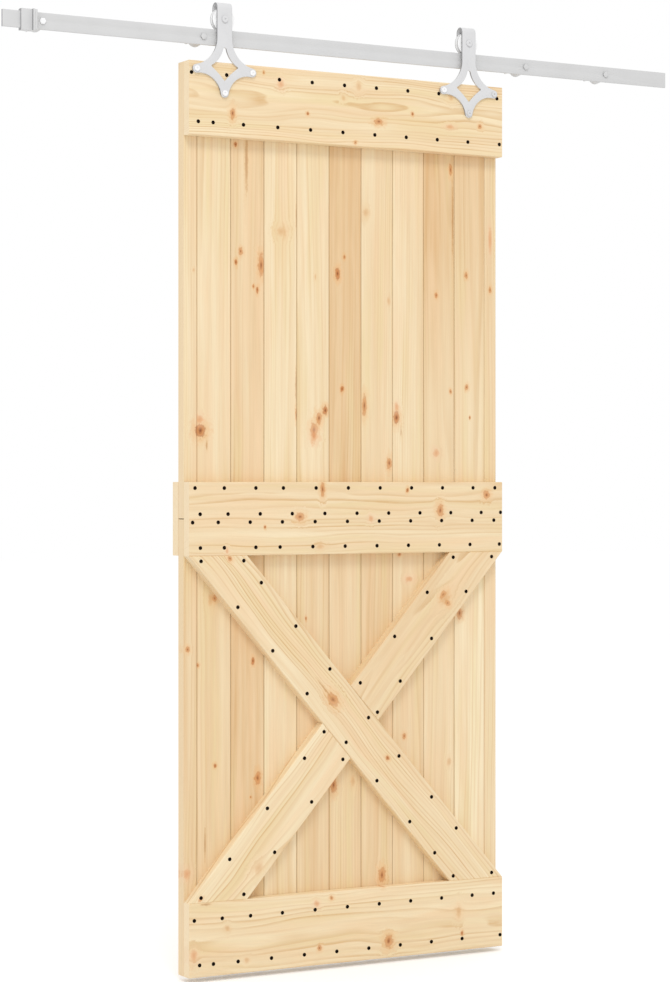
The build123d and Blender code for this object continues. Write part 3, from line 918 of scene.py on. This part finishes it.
@dataclass
class DoorLeaf:
    """The leaf's planks, rails and braces."""

    camera: PhotoCamera
    finish: PlanedPine = field(default_factory=PlanedPine)
    planks_across: int = 11
    ring_range_mm: Span = (5.0, 8.5)
    pith_side_range_mm: Span = (25.0, 95.0)
    pith_depth_range_mm: Span = (22.0, 60.0)
    taper_range: Span = (0.004, 0.012)
    seed_range: Span = (0.0, 900.0)
    seed: int = 24
    # Sawn ends of the rails are fresh and pale, and the planed sides of the planks have darkened. Both tints
    # are also painted light, set for how bright the sideways faces look.
    rail_end_colour_and_light: str = "#FAE5C2"
    plank_side_tint: str = "#F3DAB4"
    # The planks are nearly straight-grained, and the rails and braces wavier and more strongly lined.
    plank_stock: Stock = Stock(
        drift=Figure((110.0, 110.0, 620.0), detail=1.5), drift_reach_mm=17.0, line_share=0.62
    )
    rail_stock: Stock = Stock(
        drift=Figure((80.0, 80.0, 330.0), detail=1.5), drift_reach_mm=34.0, line_share=1.25
    )
    # Boards whose face is cut close over the heart, so that the rings rise in pointed arches.
    arched: frozenset[str] = frozenset(
        ("upper_plank_10", "lower_plank_02", "lower_plank_03", "bottom_rail", "top_rail")
    )
    arch_share: float = 0.15
    level_m: float = 1e-5

    def grains(self) -> dict[str, Grain]:
        """Lists the boards and the way that their grain runs.

        Returns:
            The grain of each board by node name.
        """
        grains = {}
        for row in ("upper", "lower"):
            for number in range(1, self.planks_across + 1):
                grains[f"{row}_plank_{number:02d}"] = Grain.UPRIGHT
        for name in ("top_rail", "front_mid_rail", "back_mid_rail", "bottom_rail"):
            grains[name] = Grain.LEVEL
        grains["long_brace"] = Grain.FALLING
        grains["upper_short_brace"] = Grain.RISING
        grains["lower_short_brace"] = Grain.RISING
        return grains

    @staticmethod
    def tone(name: str) -> float:
        """Looks up how deep a board's tone is.

        Args:
            name: The board's node.

        Returns:
            The tone, from 0 for pale to about 1 for deep.
        """
        row, _, number = name.partition("_plank_")
        tones = {"upper": UPPER_PLANK_TONES, "lower": LOWER_PLANK_TONES}
        return tones[row][int(number) - 1] if number else BOARD_TONES[name]

    def brace_lean(self) -> tuple[float, float]:
        """Measures the long brace's run and rise between its level cuts.

        Returns:
            Run and rise in metres.
        """
        low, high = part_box("long_brace")
        corners = [vertex.co for vertex in bpy.data.objects["long_brace"].data.vertices]
        top = [corner.x for corner in corners if corner.z > high.z - self.level_m]
        cut = max(top) - min(top)
        return high.x - low.x - cut, high.z - low.z

    def board(self, name: str, grain: Grain, draw: random.Random) -> Board:
        """Settles how one board was sawn and where its knots are.

        Args:
            name: The board's node.
            grain: The way its grain runs.
            draw: The source of the boards' chance differences.

        Returns:
            The board.
        """
        low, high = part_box(name)
        turn = grain.turn(*self.brace_lean())
        side = draw.uniform(*self.pith_side_range_mm) * draw.choice((-1, 1))
        depth = draw.uniform(*self.pith_depth_range_mm)
        if name in self.arched:
            side *= self.arch_share
        board = Board(
            name=name,
            stock=self.plank_stock if grain is Grain.UPRIGHT else self.rail_stock,
            turn=turn,
            tone=self.tone(name),
            foot_fade=FOOT_FADES.get(name, 0.0),
            centre_m=(low + high) / 2,
            pith_mm=(side, depth),
            ring_mm=draw.uniform(*self.ring_range_mm),
            taper=draw.uniform(*self.taper_range) * draw.choice((-1, 1)),
            seed=tuple(draw.uniform(*self.seed_range) for _ in range(3)),
            side_tint_and_light=self.rail_end_colour_and_light if grain is Grain.LEVEL else self.plank_side_tint,
            grooved=grain is Grain.UPRIGHT and name[-2:] not in ("01", f"{self.planks_across:02d}"),
        )
        upright = Matrix.Rotation(turn, 3, "Y")
        for knot in KNOTS.get(name, ()):
            seen = self.camera.on_plane(knot.pixel, low.y)
            place = upright @ (seen / MM) - board.seat()
            if grain is Grain.LEVEL:
                knot = replace(knot, width_mm=knot.height_mm, height_mm=knot.width_mm)
            board.knots.append((place, knot))
        return board

    def dress(self, nodes: dict[str, bpy.types.Object]) -> None:
        """Gives every board its own material.

        Args:
            nodes: The frame's objects by node name.
        """
        draw = random.Random(self.seed)
        for name, grain in self.grains().items():
            board = self.board(name, grain, draw)
            set_material(nodes[name], self.finish.material(board))
            LOG.info("board %s with %d knots", name, len(board.knots))


@dataclass
class Fitter:
    """Puts finished meshes in the place of the frame's nodes."""

    frame: dict
    slots: dict[str, str] = field(init=False)
    bodies: dict[str, str] = field(init=False)

    def __post_init__(self) -> None:
        """Reads each node's slot and body from the record."""
        record = self.frame["record"]
        self.slots = {row["node"]: row["material_slot"] for row in record["subparts"]}
        bodies = record["behaviour"]["bodies"]
        self.bodies = {node: body for body, members in bodies.items() for node in members}

    def put(self, node: str, mesh: bpy.types.Mesh, material: bpy.types.Material) -> None:
        """Makes a mesh the piece that stands for a node, on the node's body.

        Args:
            node: The node that the mesh replaces.
            mesh: The finished mesh, in the part's frame.
            material: The piece's material.
        """
        piece = bpy.data.objects.new(f"{node}_finished", mesh)
        bpy.context.scene.collection.objects.link(piece)
        set_material(piece, material)
        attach(piece, self.bodies[node])
        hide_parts(node)
        LOG.info("piece %s with %d faces", piece.name, len(mesh.polygons))


@dataclass
class Hardware:
    """Steel, nylon and rubber pieces, each with the softened edges that its making gives."""

    fitter: Fitter
    weld_m: float = 1e-6
    flat_deg: float = 0.4
    edge_deg: float = 25.0
    smooth_deg: float = 32.0
    edge_steps: int = 3
    edge_roundness: float = 0.5
    # The bolts left of these places are white, and the others are grey like the steel that they hold. On the
    # right hanger's screws that grey is painted shade.
    white_bolt_limit_m: float = -0.6
    hanger_screw_shade_limit_m: float = 0.3

    def softened(self, node: str, edge_mm: float) -> bpy.types.Mesh:
        """Copies a node's form and rounds its sharp edges.

        Args:
            node: The node to copy.
            edge_mm: The width of the rounding.

        Returns:
            The new mesh.
        """
        source = self.fitter.frame["nodes"][node].data
        form = bmesh.new()
        corners = [form.verts.new(vertex.co) for vertex in source.vertices]
        for polygon in source.polygons:
            form.faces.new([corners[index] for index in polygon.vertices])
        bmesh.ops.remove_doubles(form, verts=form.verts, dist=self.weld_m)
        flat = math.radians(self.flat_deg)
        bmesh.ops.dissolve_limit(form, angle_limit=flat, verts=form.verts, edges=form.edges)
        bmesh.ops.recalc_face_normals(form, faces=form.faces)
        sharp = [e for e in form.edges if e.is_manifold and e.calc_face_angle() > math.radians(self.edge_deg)]
        bmesh.ops.bevel(
            form,
            geom=sharp,
            offset=edge_mm * MM,
            segments=self.edge_steps,
            profile=self.edge_roundness,
            affect="EDGES",
            clamp_overlap=True,
        )
        mesh = bpy.data.meshes.new(f"{node}_softened")
        form.to_mesh(mesh)
        form.free()
        mesh.polygons.foreach_set("use_smooth", [True] * len(mesh.polygons))
        mesh.set_sharp_from_angle(angle=math.radians(self.smooth_deg))
        return mesh

    def build(self) -> None:
        """Makes and dresses every hardware piece."""
        coat = POWDER_COATED_STEEL.material()
        lacquer = WHITE_LACQUERED_STEEL.material()
        strap = POWDER_COATED_STRAP.material()
        bolt = POWDER_COATED_BOLT.material()
        nylon = TURNED_NYLON.material()
        # Each node's edge width in millimetres, and its material.
        making = {
            "track_bar": (0.4, coat),
            "wall_spacers": (0.6, coat),
            "stop_collar": (0.7, coat),
            "left_hanger_strap": (0.7, strap),
            "right_hanger_strap": (0.7, strap),
            "wall_bolts": (0.6, coat),
            "axle_bolts": (0.8, bolt),
            "axle_nuts": (0.6, bolt),
            "hanger_screws": (0.7, bolt),
            "stop_set_screw": (0.3, lacquer),
            "left_wheel": (0.8, nylon),
            "right_wheel": (0.8, nylon),
            "wheel_bushes": (0.2, TURNED_STEEL.material()),
            "stop_bumper": (1.2, MOULDED_RUBBER.material()),
        }
        for node, (edge_mm, material) in making.items():
            self.fitter.put(node, self.softened(node, edge_mm), material)
        self.part_white("wall_bolts_finished", lacquer, self.white_bolt_limit_m)
        # The right hanger's screws stay grey as painted shade.
        self.part_white("hanger_screws_finished", lacquer, self.hanger_screw_shade_limit_m)

    @staticmethod
    def part_white(piece: str, lacquer: bpy.types.Material, limit_m: float) -> None:
        """Lacquers the bolts of a piece that stand left of a limit.

        Args:
            piece: The piece's name.
            lacquer: The white lacquer.
            limit_m: The limit's X.
        """
        bolts = bpy.data.objects[piece].data
        bolts.materials.append(lacquer)
        for face in bolts.polygons:
            face.material_index = int(face.center.x < limit_m)


@dataclass
class WoodScrews:
    """Countersunk wood screws with a cross recess."""

    fitter: Fitter
    nodes: tuple[str, ...] = ("top_rail_screws", "mid_rail_screws", "bottom_rail_screws", "brace_screws")
    sides: int = 24
    head_radius_mm: float = 4.6
    head_edge_mm: float = 0.25
    countersink_mm: float = 2.6
    shank_radius_mm: float = 1.5
    point_mm: float = 7.0
    point_radius_mm: float = 0.1
    recess_arm_mm: float = 0.5
    recess_reach_mm: float = 1.7
    # The wood's face runs on behind the proud head, so the recess ends just in front of it.
    recess_depth_mm: float = 0.2
    recess_taper: float = 0.9
    smooth_deg: float = 30.0
    # Decimals of a metre that tell one screw's axis from another.
    place_digits: int = 5

    def places(self, node: str) -> list[tuple[float, float]]:
        """Finds the screws' axes from the points of the node's tapers.

        Args:
            node: A node of screws.

        Returns:
            X and Z of each screw, in metres.
        """
        low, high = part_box(node)
        middle = (low.y + high.y) / 2
        vertices = self.fitter.frame["nodes"][node].data.vertices
        points = [vertex.co for vertex in vertices if vertex.co.y > middle]
        return sorted({(round(p.x, self.place_digits), round(p.z, self.place_digits)) for p in points})

    def recess(self, depth_mm: float, share: float) -> list[Point]:
        """Draws the outline of the cross recess at a depth.

        Args:
            depth_mm: How deep below the head's face.
            share: The outline's size as a share of that at the face.

        Returns:
            The twelve corners, in order round the axis.
        """
        arm, reach = self.recess_arm_mm * share, self.recess_reach_mm * share
        quarter = [(reach, -arm), (reach, arm), (arm, arm)]
        corners = []
        for turn in range(4):
            spin = Matrix.Rotation(turn * math.pi / 2, 2)
            for corner in quarter:
                x, z = spin @ Vector(corner)
                corners.append((x, depth_mm, z))
        return corners

    def pattern(self, length_mm: float) -> tuple[list[Point], list[tuple[int, ...]]]:
        """Makes one screw about its own axis, with its face at Y 0.

        Args:
            length_mm: The screw's whole length.

        Returns:
            Its points in millimetres and its faces.
        """
        form = bmesh.new()
        profile = [
            (self.head_radius_mm - self.head_edge_mm, 0.0),
            (self.head_radius_mm, self.head_edge_mm),
            (self.shank_radius_mm, self.countersink_mm),
            (self.shank_radius_mm, length_mm - self.point_mm),
            (self.point_radius_mm, length_mm),
        ]
        loops = []
        for radius, depth in profile:
            turns = [2 * math.pi * side / self.sides for side in range(self.sides)]
            loops.append([form.verts.new((radius * math.cos(t), depth, radius * math.sin(t))) for t in turns])
        mouth = [form.verts.new(corner) for corner in self.recess(0.0, 1.0)]
        floor = [form.verts.new(corner) for corner in self.recess(self.recess_depth_mm, self.recess_taper)]
        walls = list(zip(loops, loops[1:])) + [(floor, mouth)]
        for first, second in walls:
            count = len(first)
            for side in range(count):
                after = (side + 1) % count
                form.faces.new((first[side], first[after], second[after], second[side]))
        form.faces.new(loops[-1])
        form.faces.new(floor)
        rim = [e for e in form.edges if len(e.link_faces) == 1]
        bmesh.ops.triangle_fill(form, use_beauty=True, use_dissolve=False, edges=rim)
        bmesh.ops.recalc_face_normals(form, faces=form.faces)
        form.verts.index_update()
        points = [tuple(vertex.co) for vertex in form.verts]
        faces = [tuple(vertex.index for vertex in face.verts) for face in form.faces]
        form.free()
        return points, faces

    def build(self) -> None:
        """Makes and dresses each set of screws."""
        material = BLACK_PHOSPHATE_STEEL.material()
        for node in self.nodes:
            low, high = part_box(node)
            points, faces = self.pattern((high.y - low.y) / MM)
            all_points, all_faces = [], []
            for x, z in self.places(node):
                start = len(all_points)
                all_points += [(x + p[0] * MM, low.y + p[1] * MM, z + p[2] * MM) for p in points]
                all_faces += [tuple(start + index for index in face) for face in faces]
            mesh = bpy.data.meshes.new(f"{node}_turned")
            mesh.from_pydata(all_points, [], all_faces)
            mesh.set_sharp_from_angle(angle=math.radians(self.smooth_deg))
            self.fitter.put(node, mesh, material)


@dataclass
class Studio:
    """A white room without corners: floor, even light from all sides and one soft lamp in front."""

    floor_gap_m: float = 0.012
    floor_reach_m: float = 30.0
    floor_colour: str = "#F4F4F4"
    floor_glow: float = 0.22
    sky_strength: float = 0.87
    seen_strength: float = 1.0
    key_power_w: float = 265.0
    key_place_m: Point = (-3.2, -6.5, 6.5)
    key_size_m: float = 3.0

    def sky(self) -> None:
        """Lights the world evenly and shows it white to the eye and in reflections."""
        world = bpy.data.worlds.new("white_room")
        bpy.context.scene.world = world
        world.use_nodes = True
        tree = world.node_tree
        tree.nodes.clear()
        strength = {"Value": seen_rays(tree), "To Min": self.sky_strength, "To Max": self.seen_strength}
        strength = add_node(tree, "MapRange", strength)
        glow = add_node(tree, "Background", {"Color": to_linear(WHITE), "Strength": strength})
        output = tree.nodes.new("ShaderNodeOutputWorld")
        tree.links.new(glow, output.inputs["Surface"])

    def floor(self) -> None:
        """Lays a white floor under the door that keeps its shadow."""
        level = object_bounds()[0][2] - self.floor_gap_m
        reach = self.floor_reach_m
        ends = ((-reach, -reach), (reach, -reach), (reach, reach), (-reach, reach))
        corners = [(x, y, level) for x, y in ends]
        mesh = bpy.data.meshes.new("studio_floor")
        mesh.from_pydata(corners, [], [(0, 1, 2, 3)])
        floor = bpy.data.objects.new("studio_floor", mesh)
        bpy.context.scene.collection.objects.link(floor)
        material, tree = new_material("matt_white_floor")
        paint = add_node(tree, "BsdfDiffuse", {"Color": to_linear(self.floor_colour)})
        glow = add_node(tree, "Math", {0: seen_rays(tree), 1: self.floor_glow}, operation="MULTIPLY")
        glow = add_node(tree, "Emission", {"Color": to_linear(WHITE), "Strength": glow})
        add_node_output(tree, add_node(tree, "AddShader", {0: paint, 1: glow}))
        set_material(floor, material)
        floor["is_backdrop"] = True

    def lamp(self, target: Vector) -> None:
        """Hangs the square soft lamp.

        Args:
            target: The point that it faces.
        """
        light = bpy.data.lights.new("front_lamp", "AREA")
        light.energy = self.key_power_w
        light.size = self.key_size_m
        lamp = bpy.data.objects.new("front_lamp", light)
        lamp.location = self.key_place_m
        lamp.rotation_euler = (target - Vector(self.key_place_m)).to_track_quat("-Z", "Y").to_euler()
        bpy.context.scene.collection.objects.link(lamp)

    def build(self, target: Vector) -> None:
        """Builds the room and hangs its lamp before a target.

        Args:
            target: The point that the lamp faces.
        """
        self.sky()
        self.floor()
        self.lamp(target)
        bpy.context.scene.view_settings.view_transform = "Standard"


def main() -> None:
    """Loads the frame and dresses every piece."""
    logging.basicConfig(level=logging.INFO, format="%(name)s: %(message)s")
    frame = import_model()
    camera = PhotoCamera()
    camera.build()
    fitter = Fitter(frame)
    DoorLeaf(camera).dress(frame["nodes"])
    WoodScrews(fitter).build()
    Hardware(fitter).build()
    low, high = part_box("front_mid_rail")
    Studio().build((low + high) / 2)


if __name__ == "__main__":
    main()
